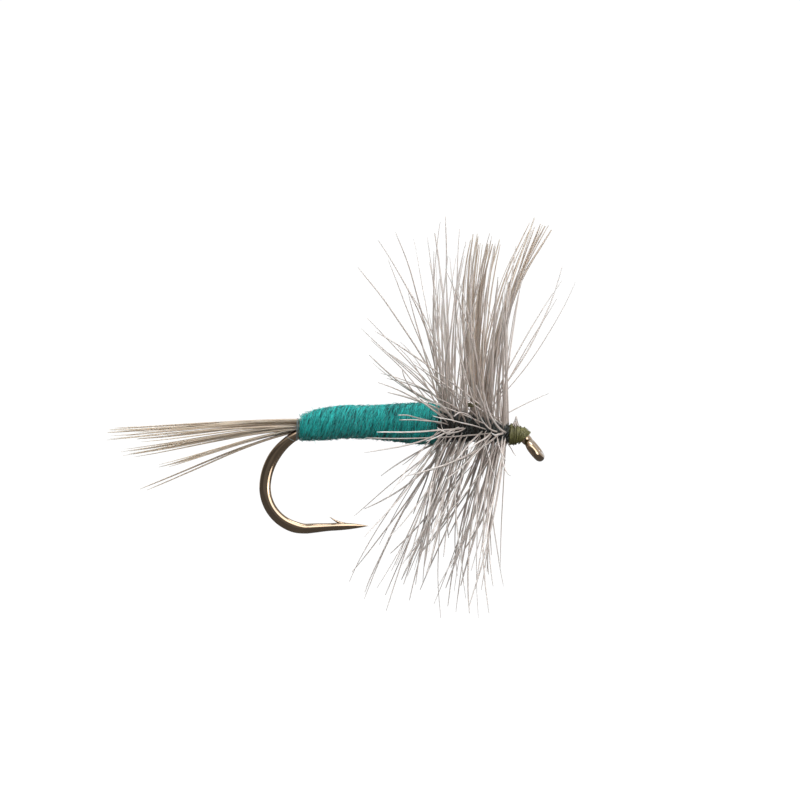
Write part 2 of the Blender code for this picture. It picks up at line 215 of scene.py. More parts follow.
def addLights(rows):
    target = Vector(cameraSet["aim"]) * mm
    for name, place, size, watts in rows:
        data = bpy.data.lights.new(name, "AREA")
        data.shape = "ELLIPSE"
        data.size = size[0] * mm
        data.size_y = size[1] * mm
        data.energy = watts
        lamp = bpy.data.objects.new(name, data)
        lamp.location = Vector(place) * mm + target
        lamp.rotation_euler = (target - lamp.location).to_track_quat("-Z", "Y").to_euler()
        bpy.context.scene.collection.objects.link(lamp)


def addWorld(s):
    # seen white; it lights the fly from behind, above and the right, least from the camera's side
    world = bpy.data.worlds.new("studio")
    bpy.context.scene.world = world
    world.use_nodes = True
    tree = world.node_tree
    tree.nodes.clear()
    where = addNode(tree, "ShaderNodeTexCoord").outputs["Generated"]

    def share(direction, low, high):
        wires = {0: where, 1: Vector(direction).normalized()}
        dot = addNode(tree, "ShaderNodeVectorMath", wires, operation="DOT_PRODUCT")
        ends = {"From Min": low, "From Max": high}
        return mapRange(tree, dot.outputs["Value"], ends, smooth=True)

    def blend(amount, near, far):
        return addNode(tree, "ShaderNodeMix", {0: amount, 2: near, 3: far}).outputs[0]

    level = blend(share((0, 1, 0), 0.0, 0.5), s["low"], s["behind"])
    level = blend(share(s["bright"], 0.08, 0.6), level, s["above"])
    keyed = blend(share(s["panel"], 0.2, 0.42), level, s["key"])
    level = blend(share((0, -1, 0), 0.50, 0.60), level, keyed)
    level = blend(share((0, -1, 0), 0.88, 0.93), level, s["camera"])
    sky = addNode(tree, "ShaderNodeBackground", {"Strength": level})
    seen = addNode(tree, "ShaderNodeBackground", {"Color": (1, 1, 1, 1), "Strength": s["seen"]})
    path = addNode(tree, "ShaderNodeLightPath")
    wires = {0: path.outputs["Is Camera Ray"], 1: sky.outputs[0], 2: seen.outputs[0]}
    mix = addNode(tree, "ShaderNodeMixShader", wires)
    addNode(tree, "ShaderNodeOutputWorld", {"Surface": mix.outputs[0]})


addCamera(cameraSet)
addStage(stageSet)
addLights(lightSet)
addWorld(skySet)
bpy.context.scene.view_settings.view_transform = "Standard"
print("camera, floor and lights are set")


# shader groups and materials


def makeGroup(name, inputs, outputs):
    tree = bpy.data.node_groups.new(name, "ShaderNodeTree")
    for label, kind, value in inputs:
        socket = tree.interface.new_socket(label, in_out="INPUT", socket_type="NodeSocket" + kind)
        if value is not None:
            socket.default_value = value
    for label, kind in outputs:
        tree.interface.new_socket(label, in_out="OUTPUT", socket_type="NodeSocket" + kind)
    return tree, addNode(tree, "NodeGroupInput").outputs, addNode(tree, "NodeGroupOutput")


def fibreToneGroup():
    # colour along a fibre from root to tip, with a tone of its own, a fine grain and painted shade along
    # its thin edges
    tree, given, out = makeGroup(
        "fibreTone",
        [
            ("Root Color", "Color", tint(120, 108, 98)),
            ("Tip Color", "Color", tint(190, 182, 178)),
            ("Dark Color", "Color", tint(90, 75, 62)),
            ("Rim", "Vector", None),
            ("Along", "Float", 0.0),
            ("Tone", "Float", 0.5),
            ("Spread", "Float", 0.5),
            ("Edge", "Float", 0.5),
        ],
        [("Color", "Color"), ("Height", "Float")],
    )
    grain = speckle(tree, 9000.0, 3.0)
    run = mixColour(tree, given["Along"], given["Root Color"], given["Tip Color"])
    centred = calc(tree, "SUBTRACT", grain, 0.5)
    mixed = calc(tree, "MULTIPLY_ADD", centred, 0.8, given["Tone"])
    share = calc(tree, "MULTIPLY", mixed, given["Spread"], use_clamp=True)
    dark = mixColour(tree, share, run, given["Dark Color"])
    # painted shade: the two thin edges of a barb are painted dark and its flat sides left clear, as
    # light through the thin barb would show them
    sides = addNode(tree, "ShaderNodeSeparateXYZ", {0: given["Rim"]})
    wide = calc(tree, "ABSOLUTE", sides.outputs["X"])
    ends = {"From Min": 0.45, "From Max": 0.95, "To Max": given["Edge"]}
    edge = mapRange(tree, wide, ends, smooth=True)
    edgeShaded = mixColour(tree, edge, dark, given["Dark Color"])
    tree.links.new(edgeShaded, out.inputs["Color"])
    tree.links.new(grain, out.inputs["Height"])
    return tree


def plyTwistGroup():
    # the twist of a thread's plies: ridges that run round it as they run along it
    tree, given, out = makeGroup(
        "plyTwist",
        [
            ("Rim", "Vector", None),
            ("Run", "Float", 0.0),
            ("Twists", "Float", 6000.0),
            ("Plies", "Float", 2.0),
        ],
        [("Ridge", "Float")],
    )
    sides = addNode(tree, "ShaderNodeSeparateXYZ", {0: given["Rim"]}).outputs
    angle = calc(tree, "ARCTAN2", sides["Y"], sides["X"])
    many = calc(tree, "MULTIPLY", angle, given["Plies"])
    run = calc(tree, "MULTIPLY_ADD", given["Run"], given["Twists"], many)
    ridge = calc(tree, "MULTIPLY_ADD", calc(tree, "SINE", run), 0.5, 0.5)
    tree.links.new(ridge, out.inputs["Ridge"])
    return tree


fibreTone = fibreToneGroup()
plyTwist = plyTwistGroup()


def bumpFrom(tree, shader, height, strength, distance):
    wires = {"Height": height, "Strength": strength, "Distance": distance}
    bump = addNode(tree, "ShaderNodeBump", wires)
    tree.links.new(bump.outputs["Normal"], shader.inputs["Normal"])


featherLook = {
    "Subsurface Weight": 1.0,
    "Subsurface Scale": 0.08 * mm,
    "Subsurface Radius": (1.0, 0.92, 0.88),
}


def fibreMaterial(name, root, tip, dark, spread, edge, roughness):
    made, tree, shader = newMaterial(name, {**featherLook, "Roughness": roughness})
    wires = {
        "Root Color": root,
        "Tip Color": tip,
        "Dark Color": dark,
        "Spread": spread,
        # how dark the painted shade on a barb's thin edges is
        "Edge": edge,
        "Rim": attribute(tree, "rim", "Vector"),
        "Along": attribute(tree, "along"),
        "Tone": attribute(tree, "tone"),
    }
    group = addNode(tree, "ShaderNodeGroup", wires, node_tree=fibreTone)
    tree.links.new(group.outputs["Color"], shader.inputs["Base Color"])
    bumpFrom(tree, shader, group.outputs["Height"], 0.3, 0.01 * mm)
    return made


def threadMaterial(name, colour, dark, values):
    made, tree, shader = newMaterial(name, values)
    wires = {
        "Twists": 16000.0,
        "Plies": 2.0,
        "Rim": attribute(tree, "rim", "Vector"),
        "Run": attribute(tree, "run"),
    }
    ridge = addNode(tree, "ShaderNodeGroup", wires, node_tree=plyTwist).outputs["Ridge"]
    shade = calc(tree, "MULTIPLY_ADD", speckle(tree, 2600.0, 4.0), 0.9, -0.12)
    # painted shade: the grooves between the plies are painted darker than their ridges, over a mottled
    # tone
    lift = calc(tree, "MULTIPLY_ADD", ridge, 0.3, shade, use_clamp=True)
    tree.links.new(mixColour(tree, lift, dark, colour), shader.inputs["Base Color"])
    bumpFrom(tree, shader, ridge, 0.5, 0.01 * mm)
    return made


def woolMaterial(name, light, mid, dark, values):
    # light and dark strands, by each strand's own tone
    made, tree, shader = newMaterial(name, values)
    patch = speckle(tree, 1100.0, 3.0)
    both = calc(tree, "MULTIPLY_ADD", patch, 0.9, attribute(tree, "tone"))
    colour = ramp(tree, both, (0.3, dark), (1.15, light), (0.85, mid))
    tree.links.new(colour, shader.inputs["Base Color"])
    bumpFrom(tree, shader, patch, 0.3, 0.02 * mm)
    return made


def bronzeMaterial():
    # bronzed and lacquered steel, with fine specks and a patchy tone
    made, tree, shader = newMaterial(
        "bronzedSteel",
        {"Metallic": 1.0, "Roughness": 0.1, "Coat Weight": 1.0, "Coat IOR": 1.9, "Coat Roughness": 0.06},
    )
    patch = speckle(tree, 900.0, 5.0, 0.6)
    speck = speckle(tree, 14000.0, 2.0)
    colour = ramp(tree, patch, (0.3, tint(150, 124, 96)), (0.75, tint(170, 142, 106)))
    rough = calc(tree, "MULTIPLY_ADD", speck, 0.10, 0.05)
    tree.links.new(colour, shader.inputs["Base Color"])
    tree.links.new(rough, shader.inputs["Roughness"])
    bumpFrom(tree, shader, speck, 0.06, 0.004 * mm)
    return made


bronze = bronzeMaterial()
oliveThread = threadMaterial(
    "oliveThread", tint(126, 124, 72), tint(40, 36, 12), {"Roughness": 0.55, "Coat Weight": 0.1}
)
greyThread = threadMaterial(
    "greyThread", tint(150, 164, 166), tint(70, 78, 78), {"Roughness": 0.5}
)
tealWool = woolMaterial(
    "tealWool",
    tint(40, 206, 200),
    tint(6, 142, 140),
    tint(0, 62, 66),
    {"Roughness": 0.62, "Sheen Weight": 0.15, "Sheen Roughness": 0.4},
)
darkWool = woolMaterial(
    "darkWool",
    tint(70, 80, 78),
    tint(46, 40, 34),
    tint(24, 18, 12),
    {"Roughness": 0.8, "Sheen Weight": 0.1},
)
hackleFeather = fibreMaterial(
    "hackleFeather",
    tint(198, 188, 181),
    tint(234, 228, 224),
    tint(138, 128, 121),
    0.5,
    0.55,
    0.42,
)
wingFeather = fibreMaterial(
    "wingFeather",
    tint(196, 182, 170),
    tint(222, 212, 199),
    tint(126, 108, 96),
    0.5,
    0.5,
    0.45,
)
tailFeather = fibreMaterial(
    "tailFeather",
    tint(196, 182, 164),
    tint(220, 208, 190),
    tint(130, 114, 98),
    0.55,
    0.5,
    0.4,
)
print("materials are made")


# geometry node trees


def makeTree(name, sockets):
    tree = bpy.data.node_groups.new(name, "GeometryNodeTree")
    tree.interface.new_socket("Geometry", in_out="INPUT", socket_type="NodeSocketGeometry")
    for label, kind, value in sockets:
        socket = tree.interface.new_socket(label, in_out="INPUT", socket_type="NodeSocket" + kind)
        if value is not None:
            socket.default_value = value
    tree.interface.new_socket("Geometry", in_out="OUTPUT", socket_type="NodeSocketGeometry")
    return tree, addNode(tree, "NodeGroupInput").outputs, addNode(tree, "NodeGroupOutput")


def endTree(tree, given, out, geometry):
    # every tree ends in Realize Instances and Set Material
    real = addNode(tree, "GeometryNodeRealizeInstances", {"Geometry": geometry})
    wires = {"Geometry": real.outputs[0], "Shade Smooth": True}
    smooth = addNode(tree, "GeometryNodeSetShadeSmooth", wires)
    wires = {"Geometry": smooth.outputs[0], "Material": given["Material"]}
    paint = addNode(tree, "GeometryNodeSetMaterial", wires)
    tree.links.new(paint.outputs[0], out.inputs[0])


def named(tree, label):
    node = addNode(tree, "GeometryNodeInputNamedAttribute", {"Name": label}, data_type="FLOAT")
    return node.outputs["Attribute"]


def store(tree, geometry, label, value, kind="FLOAT", domain="POINT"):
    wires = {"Geometry": geometry, "Name": label, "Value": value}
    node = addNode(tree, "GeometryNodeStoreNamedAttribute", wires, data_type=kind, domain=domain)
    return node.outputs[0]


def skin(tree, curve, profile, scale):
    wires = {"Curve": curve, "Profile Curve": profile, "Scale": scale, "Fill Caps": True}
    return addNode(tree, "GeometryNodeCurveToMesh", wires).outputs[0]


def fibreTree():
    # skins chains of edges as tapered fibres, finely resampled and a little wavy
    tree, given, out = makeTree(
        "fibres",
        [
            ("Radius", "Float", 0.04 * mm),
            ("Tip Share", "Float", 0.2),
            ("Flatness", "Float", 0.6),
            ("Step", "Float", 0.5 * mm),
            ("Sides", "Int", 6),
            ("Waviness", "Float", 0.0),
            ("Wave Scale", "Float", 300.0),
            ("Material", "Material", None),
        ],
    )
    curves = addNode(tree, "GeometryNodeMeshToCurve", {"Mesh": given["Geometry"]})
    smooth = addNode(
        tree,
        "GeometryNodeCurveSplineType",
        {"Curve": curves.outputs[0]},
        spline_type="CATMULL_ROM",
    )
    fine = addNode(
        tree,
        "GeometryNodeResampleCurve",
        {"Curve": smooth.outputs[0]},
        mode="LENGTH",
    )
    tree.links.new(given["Step"], fine.inputs["Length"])
    along = addNode(tree, "GeometryNodeSplineParameter").outputs
    kept = store(tree, fine.outputs[0], "along", along["Factor"])
    kept = store(tree, kept, "run", along["Length"])
    place = addNode(tree, "GeometryNodeInputPosition").outputs[0]
    phase = calc(tree, "MULTIPLY", named(tree, "tone"), 97.0)
    noise = addNode(
        tree,
        "ShaderNodeTexNoise",
        {"Vector": place, "W": phase, "Scale": given["Wave Scale"], "Detail": 1.0},
        noise_dimensions="4D",
    )
    centred = calcVector(tree, "SUBTRACT", {0: noise.outputs["Color"], 1: (0.5, 0.5, 0.5)})
    free = calc(tree, "MULTIPLY", along["Factor"], given["Waviness"])
    drift = calcVector(tree, "SCALE", {0: centred, "Scale": free})
    moved = addNode(tree, "GeometryNodeSetPosition", {"Geometry": kept, "Offset": drift})
    # full at the root, Tip Share at the end, most of the taper near the tip
    taper = addNode(tree, "ShaderNodeFloatCurve", {"Value": along["Factor"]})
    points = taper.mapping.curves[0].points
    points[0].location = (0.0, 0.0)
    points[1].location = (1.0, 1.0)
    points.new(0.5, 0.08)
    points.new(0.82, 0.4)
    taper.mapping.update()
    shrink = mapRange(tree, taper.outputs[0], {"To Min": 1.0, "To Max": given["Tip Share"]})
    size = calc(tree, "MULTIPLY", shrink, given["Radius"])
    radius = calc(tree, "MULTIPLY", size, named(tree, "thick"))
    turned = calc(tree, "MULTIPLY", named(tree, "tone"), 6.0)
    wires = {"Curve": moved.outputs[0], "Tilt": turned}
    tilted = addNode(tree, "GeometryNodeSetCurveTilt", wires)
    wires = {"Resolution": given["Sides"], "Radius": 1.0}
    profile = addNode(tree, "GeometryNodeCurvePrimitiveCircle", wires)
    squash = addNode(tree, "ShaderNodeCombineXYZ", {0: 1.0, 1: given["Flatness"], 2: 1.0})
    wires = {"Geometry": profile.outputs[0], "Scale": squash.outputs[0]}
    flat = addNode(tree, "GeometryNodeTransform", wires)
    rim = store(tree, flat.outputs[0], "rim", place, kind="FLOAT_VECTOR")
    endTree(tree, given, out, skin(tree, tilted.outputs[0], rim, radius))
    return tree


def strandTree():
    # short bowed hairs over a surface, laid round the X axis and lifted off it by Lift
    tree, given, out = makeTree(
        "strands",
        [
            ("Density", "Float", 100.0),
            ("Length", "Float", 0.5 * mm),
            ("Radius", "Float", 0.012 * mm),
            ("Bow", "Float", 0.1),
            ("Lift", "Float", 0.1),
            ("Lift Spread", "Float", 0.1),
            ("Slant", "Float", 0.2),
            ("Slant Spread", "Float", 0.2),
            ("Segments", "Int", 5),
            ("Seed", "Int", 1),
            ("Material", "Material", None),
        ],
    )
    facing = addNode(tree, "GeometryNodeInputNormal")
    split = addNode(tree, "ShaderNodeSeparateXYZ", {0: facing.outputs[0]})
    endOn = calc(tree, "ABSOLUTE", split.outputs["X"])
    spots = addNode(
        tree,
        "GeometryNodeDistributePointsOnFaces",
        {
            "Mesh": given["Geometry"],
            "Selection": calc(tree, "LESS_THAN", endOn, 0.8),
            "Density": given["Density"],
            "Seed": given["Seed"],
        },
    ).outputs

    def chance(low, high, shift):
        seed = calc(tree, "ADD", given["Seed"], float(shift))
        value = addNode(tree, "FunctionNodeRandomValue", {"Min": low, "Max": high, "Seed": seed})
        return next(o for o in value.outputs if o.enabled)

    def spread(base, width, shift):
        return calc(tree, "MULTIPLY_ADD", chance(-1.0, 1.0, shift), given[width], given[base])

    def alongX(value):
        return addNode(tree, "ShaderNodeCombineXYZ", {0: value, 1: 0.0, 2: 0.0}).outputs[0]

    around = calcVector(tree, "CROSS_PRODUCT", {0: (1.0, 0.0, 0.0), 1: spots["Normal"]})
    level = calcVector(tree, "ADD", {0: around, 1: alongX(spread("Slant", "Slant Spread", 3))})
    lift = spread("Lift", "Lift Spread", 5)
    rise = calcVector(tree, "SCALE", {0: spots["Normal"], "Scale": lift})
    turn = addNode(
        tree,
        "FunctionNodeAxesToRotation",
        {
            "Primary Axis": calcVector(tree, "ADD", {0: level, 1: rise}),
            "Secondary Axis": spots["Normal"],
        },
        primary_axis="Z",
        secondary_axis="X",
    )
    line = addNode(
        tree,
        "GeometryNodeCurveQuadraticBezier",
        {
            "Resolution": given["Segments"],
            "Start": (0, 0, -0.5),
            "Middle": alongX(given["Bow"]),
            "End": (0, 0, 0.5),
        },
    )
    along = addNode(tree, "GeometryNodeSplineParameter").outputs["Factor"]
    slim = mapRange(tree, along, {"To Min": 1.0, "To Max": 0.45})
    ratio = calc(tree, "DIVIDE", given["Radius"], given["Length"])
    wide = calc(tree, "MULTIPLY", slim, ratio)
    profile = addNode(tree, "GeometryNodeCurvePrimitiveCircle", {"Resolution": 3, "Radius": 1.0})
    hair = skin(tree, line.outputs[0], profile.outputs[0], wide)
    size = calc(tree, "MULTIPLY", chance(0.6, 1.3, 7), given["Length"])
    grown = addNode(
        tree,
        "GeometryNodeInstanceOnPoints",
        {
            "Points": spots["Points"],
            "Instance": hair,
            "Rotation": turn.outputs[0],
            "Scale": size,
        },
    )
    tone = chance(0.0, 1.0, 11)
    toned = store(tree, grown.outputs[0], "tone", tone, domain="INSTANCE")
    endTree(tree, given, out, toned)
    return tree


fibres = fibreTree()
strands = strandTree()


def plainPiece(name, mesh):
    piece = bpy.data.objects.new(name, mesh)
    bpy.context.scene.collection.objects.link(piece)
    return piece


def grow(name, mesh, tree, paint, values):
    # runs a tree on a mesh and keeps the plain result; values go by the tree's input
    # names without their spaces
    holder = plainPiece(name + "Guide", mesh)
    modifier = holder.modifiers.new("Grow", "NODES")
    modifier.node_group = tree
    for item in tree.interface.items_tree:
        label = item.name.replace(" ", "")
        if item.in_out == "INPUT" and label in values:
            modifier[item.identifier] = values[label]
        elif label == "Material":
            modifier[item.identifier] = paint
    graph = bpy.context.evaluated_depsgraph_get()
    made = bpy.data.meshes.new_from_object(holder.evaluated_get(graph), depsgraph=graph)
    bpy.data.objects.remove(holder)
    piece = plainPiece(name, made)
    print(name, len(made.polygons), "faces")
    return piece


def chainMesh(name, chains):
    # chains: (points, thick, tone); points in metres
    mesh = bpy.data.meshes.new(name + "Chains")
    verts, edges, thick, tone = [], [], [], []
    for points, width, shade in chains:
        start = len(verts)
        verts += [tuple(p) for p in points]
        edges += [(i, i + 1) for i in range(start, len(verts) - 1)]
        thick += [width] * len(points)
        tone += [shade] * len(points)
    mesh.from_pydata(verts, edges, [])
    mesh.attributes.new("thick", "FLOAT", "POINT").data.foreach_set("value", thick)
    mesh.attributes.new("tone", "FLOAT", "POINT").data.foreach_set("value", tone)
    return mesh


def growFibres(name, chains, paint, **values):
    return grow(name, chainMesh(name, chains), fibres, paint, values)


def settle(piece, slot, *nodes):
    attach(piece, "root")
    if nodes:
        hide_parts(*nodes)


def hermite(start, startDir, end, endDir, t):
    return (
        start * (2 * t**3 - 3 * t**2 + 1)
        + startDir * (t**3 - 2 * t**2 + t)
        + end * (3 * t**2 - 2 * t**3)
        + endDir * (t**3 - t**2)
    )


def eased(x, low, high):
    t = min(1.0, max(0.0, (x - low) / (high - low)))
    return t * t * (3 - 2 * t)


# hook

hookSet = dict(
    wireR=0.24,
    shankRear=-9.9,
    bendReach=3.46,
    bendDrop=3.18,
    bendLowerR=2.07,
    bendEnd=4.0,  # degrees past the lowest place
    tip=(-8.08, -4.225),
    leaveRise=8.0,
    tipRise=3.0,
    eyeR=0.44,
    eyeWireR=0.23,
    eyeLong=1.25,  # how much the eye is drawn out towards the neck
    neckWireR=0.265,
    eyeDrop=48.5,
    eyeTwist=8.0,
    neckBendR=0.45,
    sides=40,
    forgedWider=0.21,
    forgedThinner=0.27,
    barbRoot=0.585,  # share of the way along the point
    barbLong=0.80,
    barbHigh=0.34,
)

eyeDrop = math.radians(hookSet["eyeDrop"])
eyeDir = Vector((math.cos(eyeDrop), 0, -math.sin(eyeDrop)))
eyeUp = Vector((math.sin(eyeDrop), 0, math.cos(eyeDrop)))
eyeTwist = math.radians(hookSet["eyeTwist"])
ringSide = axisY * math.cos(eyeTwist) + eyeUp * math.sin(eyeTwist)
ringUp = eyeUp * math.cos(eyeTwist) - axisY * math.sin(eyeTwist)
neckR = hookSet["neckBendR"] * mm
neckTangent = neckR * math.tan(eyeDrop / 2)
neckX = -shankZ / math.tan(eyeDrop) - neckTangent


def wireFrame(distance):
    # place and direction of the wire, measured back along it from where the neck bends
    if distance >= 0:
        return Vector((neckX - distance, 0, shankZ)), axisX
    turned = min(eyeDrop, -distance / neckR)
    over = Vector((math.sin(turned), 0, math.cos(turned) - 1)) * neckR
    ahead = Vector((math.cos(turned), 0, -math.sin(turned)))
    beyond = -distance - turned * neckR
    return Vector((neckX, 0, shankZ)) + over + ahead * beyond, ahead


def ringPoint(angle):
    back, across = (math.copysign(abs(v) ** 0.86, v) for v in (math.cos(angle), math.sin(angle)))
    if back > 0:
        back *= hookSet["eyeLong"]
    return hookSet["eyeR"] * mm * (-back * eyeDir + across * ringSide)


def loft(bm, rings):
    sides = len(rings[0])
    for near, far in zip(rings, rings[1:]):
        for k in range(sides):
            nxt = (k + 1) % sides
            bm.faces.new((near[k], near[nxt], far[nxt], far[k]))
    bm.faces.new(list(reversed(rings[0])))
    bm.faces.new(rings[-1])


def closeMesh(name, bm):
    bmesh.ops.recalc_face_normals(bm, faces=bm.faces)
    mesh = bpy.data.meshes.new(name)
    bm.to_mesh(mesh)
    bm.free()
    mesh.shade_smooth()
    mesh.set_sharp_from_angle(angle=math.radians(50))
    return mesh


def sweepWire(name, stations, sides):
    # stations: centre, in-plane half width, half thickness, ring normal or None
    bm = bmesh.new()
    rings = []
    last = len(stations) - 1
    for i, (centre, inPlane, flat, normal) in enumerate(stations):
        ahead = stations[min(i + 1, last)][0]
        behind = stations[max(i - 1, 0)][0]
        travel = (ahead - behind).normalized()
        up = normal or Vector((travel.z, 0, -travel.x))
        side = travel.cross(up).normalized()
        up = side.cross(travel).normalized()
        ring = []
        for k in range(sides):
            angle = math.tau * k / sides
            reach = up * inPlane * math.cos(angle) + side * flat * math.sin(angle)
            ring.append(bm.verts.new(centre + reach))
        rings.append(ring)
    loft(bm, rings)
    return closeMesh(name, bm)


def pointStations(s, start, full):
    # a straight, slightly hollow needle that starts before the barb
    tip = Vector((s["tip"][0], 0, s["tip"][1])) * mm
    reach = (tip - start).length
    leave, arrive = math.radians(s["leaveRise"]), math.radians(s["tipRise"])
    leave = Vector((math.cos(leave), 0, math.sin(leave))) * reach
    arrive = Vector((math.cos(arrive), 0, math.sin(arrive))) * reach
    found = []
    for i in range(1, 45):
        t = i / 44
        needle = max(0.0, (t - 0.42) / 0.58)
        radius = full * (1.05 - 0.23 * eased(t, 0.0, 0.42)) * (1 - needle**2.1)
        radius = max(radius, 0.007 * mm)
        found.append((hermite(start, leave, tip, arrive, t), radius, radius, None))
    return found


def hookStations(s):
    found = []
    first, last, steps = math.radians(330), math.radians(38), 64
    wire = s["eyeWireR"] * mm
    for i in range(steps + 1):
        angle = first + (last - first) * i / steps
        radius = wire * (0.8 + 0.2 * eased(i, 0, 10))
        found.append((ringPoint(angle), radius, radius, ringUp))
    leaving = -(math.sin(last) * eyeDir + math.cos(last) * ringSide)
    neck = -(shankZ / math.sin(eyeDrop) - neckTangent) * eyeDir
    reach = 0.4 * mm
    for i in range(1, 13):
        at = hermite(ringPoint(last), leaving * reach, neck, -eyeDir * reach, i / 12)
        radius = wire + (s["neckWireR"] * mm - wire) * eased(i, 0, 8)
        found.append((at, radius, radius, ringUp))
    full = s["wireR"] * mm
    for i in range(1, 13):
        at = wireFrame(-neckR * eyeDrop * (1 - i / 12))[0]
        radius = s["neckWireR"] * mm + (full - s["neckWireR"] * mm) * i / 12
        found.append((at, radius, radius, None))
    bend = []
    bendZ = shankZ - s["bendDrop"] * mm
    upper, lower = 60, 56
    for i in range(upper + 1):
        t = math.pi / 2 * i / upper
        x = (s["shankRear"] - s["bendReach"] * math.sin(t)) * mm
        bend.append(Vector((x, 0, bendZ + s["bendDrop"] * mm * math.cos(t))))
    lowerX = (s["shankRear"] - s["bendReach"] + s["bendLowerR"]) * mm
    sweep = math.pi / 2 + math.radians(s["bendEnd"])
    for i in range(1, lower + 1):
        t = math.pi + sweep * i / lower
        x = lowerX + s["bendLowerR"] * mm * math.cos(t)
        bend.append(Vector((x, 0, bendZ + s["bendLowerR"] * mm * math.sin(t))))
    end = len(bend) - 1
    for i, at in enumerate(bend):
        forged = eased(i, 24, 44) * (1 - eased(i, end - 12, end))
        inPlane = full * (1 + s["forgedWider"] * forged + 0.05 * eased(i, end - 12, end))
        found.append((at, inPlane, full * (1 - s["forgedThinner"] * forged), None))
    needle = pointStations(s, bend[-1], full)
    return found + needle, needle


def makeHook(s):
    stations, needle = hookStations(s)
    wire = plainPiece("hook_wire", sweepWire("hook_wire", stations, s["sides"]))
    at = needle[round(s["barbRoot"] * len(needle))]
    root = at[0] + Vector((0, 0, at[1] * 0.55))
    tip = root + Vector((-s["barbLong"], 0, s["barbHigh"])) * mm
    cut = []
    for i in range(17):
        t = i / 16
        bow = Vector((0, 0, -0.05 * mm * math.sin(math.pi * t)))
        half = 0.085 * mm * (1 - t) ** 0.8 + 0.006 * mm
        cut.append((root.lerp(tip, t) + bow, half, half * 1.25, None))
    barb = plainPiece("barbSliver", sweepWire("barbSliver", cut, 16))
    join = wire.modifiers.new("Barb", "BOOLEAN")
    join.operation = "UNION"
    join.object = barb
    graph = bpy.context.evaluated_depsgraph_get()
    made = bpy.data.meshes.new_from_object(wire.evaluated_get(graph), depsgraph=graph)
    wire.modifiers.clear()
    wire.data = made
    bpy.data.objects.remove(barb)
    made.materials.clear()
    made.materials.append(bronze)
    made.shade_smooth()
    made.set_sharp_from_angle(angle=math.radians(50))
    settle(wire, "hook", "hook")


makeHook(hookSet)
print("hook is bent and barbed")


# body

bodySet = dict(
    # x, height above and depth below the shank's axis, mm
    outline=[
        (-11.79, 0.30, 0.84),
        (-11.62, 0.43, 0.83),
        (-11.27, 0.58, 0.795),
        (-10.87, 0.73, 0.775),
        (-10.27, 0.88, 0.73),
        (-9.52, 0.99, 0.60),
        (-8.27, 1.04, 0.57),
        (-7.17, 1.175, 0.63),
        (-6.37, 1.275, 0.685),
        (-5.52, 1.32, 0.715),
        (-5.07, 1.30, 0.68),
        (-4.82, 1.16, 0.62),
    ],
    sideShare=0.95,
    inset=0.11,
    turnPitch=0.30,
    ridge=0.02,
)

thoraxSet = dict(
    outline=[
        (-5.05, 1.12, 0.60),
        (-4.6, 1.10, 0.55),
        (-3.9, 1.02, 0.50),
        (-3.27, 0.92, 0.45),
        (-2.5, 0.70, 0.42),
        (-1.7, 0.50, 0.40),
        (-1.25, 0.40, 0.36),
    ],
    sideShare=0.95,
    inset=0.06,
    turnPitch=0.26,
    ridge=0.03,
)


def outlineAt(s, x):
    # x in mm; smoothed over a short length
    rows = np.array(s["outline"])
    near = [x - 0.2, x - 0.1, x, x + 0.1, x + 0.2]
    top = np.interp(near, rows[:, 0], rows[:, 1]).mean()
    low = np.interp(near, rows[:, 0], rows[:, 2]).mean()
    return top, low


def woundCore(name, s, stations, sides):
    # closed core whose surface shows the turns of the yarn
    rows = s["outline"]
    bm = bmesh.new()
    rings = []
    for i in range(stations + 1):
        x = rows[0][0] + (rows[-1][0] - rows[0][0]) * i / stations
        top, low = outlineAt(s, x)
        closing = min(1.0, 0.55 + 0.45 * math.sqrt(min(i, stations - i) / 3))
        ring = []
        for k in range(sides):
            angle = math.tau * k / sides
            turn = x / s["turnPitch"] - angle / math.tau
            grow = s["ridge"] * math.cos(math.tau * turn) - s["inset"]
            high = ((top + low) / 2 + grow) * closing
            wide = ((top + low) / 2 * s["sideShare"] + grow) * closing
            y = wide * math.cos(angle) * mm
            z = shankZ + ((top - low) / 2 + high * math.sin(angle)) * mm
            ring.append(bm.verts.new((x * mm, y, z)))
        rings.append(ring)
    loft(bm, rings)
    return closeMesh(name, bm)


def strandPiece(name, mesh, slot, paint, **values):
    settle(grow(name, mesh, strands, paint, values), slot)


def makeBody():
    mesh = woundCore("body_wool_core", bodySet, 180, 48)
    mesh.materials.append(tealWool)
    settle(plainPiece("body_wool_core", mesh), "wool", "body_yarn")
    strandPiece(
        "body_wool_strands", mesh, "wool", tealWool,
        Density=1.7e8, Length=0.80 * mm, Radius=0.012 * mm, Bow=0.30, Segments=5, Seed=4,
        Lift=0.0, LiftSpread=0.05, Slant=-0.26, SlantSpread=0.22,
    )
    strandPiece(
        "body_wool_nap", mesh, "wool", tealWool,
        Density=3.6e7, Length=0.46 * mm, Radius=0.012 * mm, Bow=0.25, Segments=4, Seed=9,
        Lift=0.95, LiftSpread=0.75, Slant=0.1, SlantSpread=1.0,
    )
    strandPiece(
        "body_wool_stray_hairs", mesh, "wool", tealWool,
        Density=3.2e6, Length=0.75 * mm, Radius=0.012 * mm, Bow=0.35, Segments=6, Seed=21,
        Lift=0.6, LiftSpread=0.5, Slant=0.0, SlantSpread=1.2,
    )


